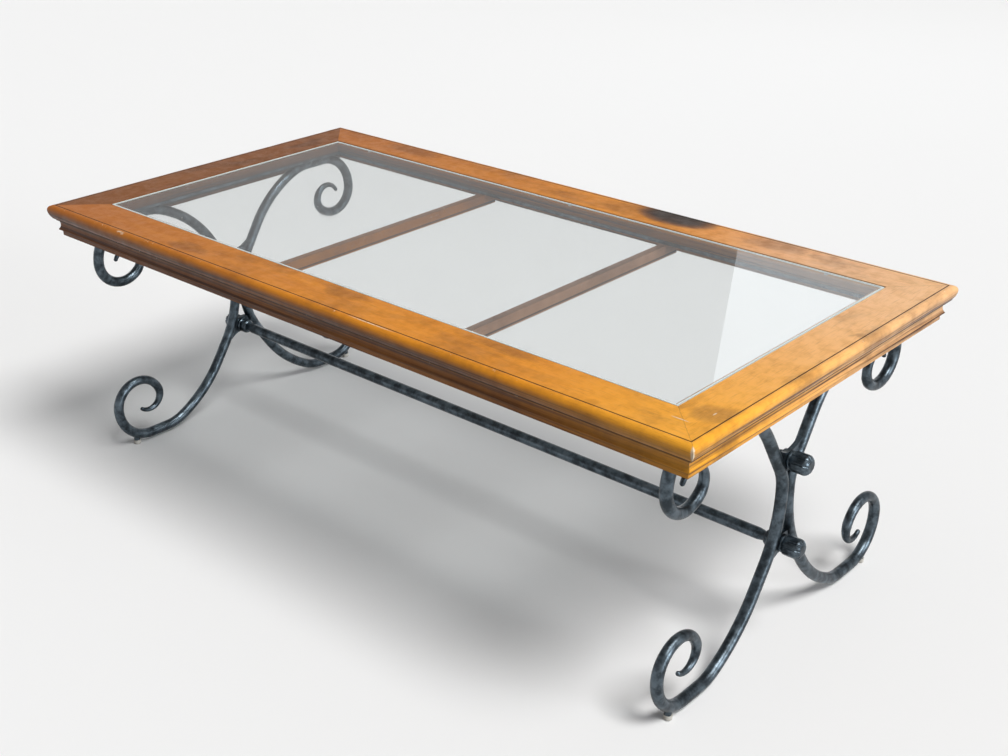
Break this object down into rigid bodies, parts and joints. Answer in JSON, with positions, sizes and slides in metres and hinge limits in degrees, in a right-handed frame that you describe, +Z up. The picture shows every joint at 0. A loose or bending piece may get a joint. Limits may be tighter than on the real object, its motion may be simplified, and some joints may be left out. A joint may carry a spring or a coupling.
{
  "type": "coffee table",
  "caption": "Rectangular coffee table: mitred, moulded wood frame with a glass inset on a black wrought iron base of C-scroll legs, fluted knobs and a round stretcher.",
  "frame": {"origin": "on the floor under the middle of the top", "axes": "+X along the table's length, +Y across it towards the back, +Z up"},
  "size_m": [1.27, 0.644, 0.443],
  "materials": {
    "wood": "satin",
    "batten_wood": "satin",
    "glass": "polished",
    "bumper": "soft",
    "iron": "satin, slightly rough",
    "glide": "translucent",
    "screw_steel": "dull"
  },
  "bodies": {
    "table": {"back_apron": "wood", "back_iron_bar": "iron", "back_left_glide": "glide", "back_left_leg": "iron", "back_rail": "wood", "back_right_glide": "glide", "back_right_leg": "iron", "batten_screws": "screw_steel", "front_apron": "wood", "front_iron_bar": "iron", "front_left_glide": "glide", "front_left_leg": "iron", "front_rail": "wood", "front_right_glide": "glide", "front_right_leg": "iron", "glass_bumpers": "bumper", "glide_screws": "screw_steel", "left_apron": "wood", "left_batten": "batten_wood", "left_bead_ring": "iron", "left_domed_nut": "iron", "left_iron_bar": "iron", "left_lower_inner_collar": "iron", "left_lower_knob": "iron", "left_lower_outer_collar": "iron", "left_lower_stud": "iron", "left_lower_web": "iron", "left_rail": "wood", "left_upper_inner_collar": "iron", "left_upper_knob": "iron", "left_upper_outer_collar": "iron", "left_upper_stud": "iron", "left_upper_web": "iron", "mitre_splines": "wood", "right_apron": "wood", "right_batten": "batten_wood", "right_bead_ring": "iron", "right_domed_nut": "iron", "right_iron_bar": "iron", "right_lower_inner_collar": "iron", "right_lower_knob": "iron", "right_lower_outer_collar": "iron", "right_lower_stud": "iron", "right_lower_web": "iron", "right_rail": "wood", "right_upper_inner_collar": "iron", "right_upper_knob": "iron", "right_upper_outer_collar": "iron", "right_upper_stud": "iron", "right_upper_web": "iron", "stretcher": "iron", "top_screws": "screw_steel"},
    "glass": {"glass_panel": "glass"}
  },
  "joints": [
    {"name": "glass_lift", "type": "slide", "parent": "table", "child": "glass", "axis": [0, 0, 1], "range_m": [0, 0.05]}
  ]
}
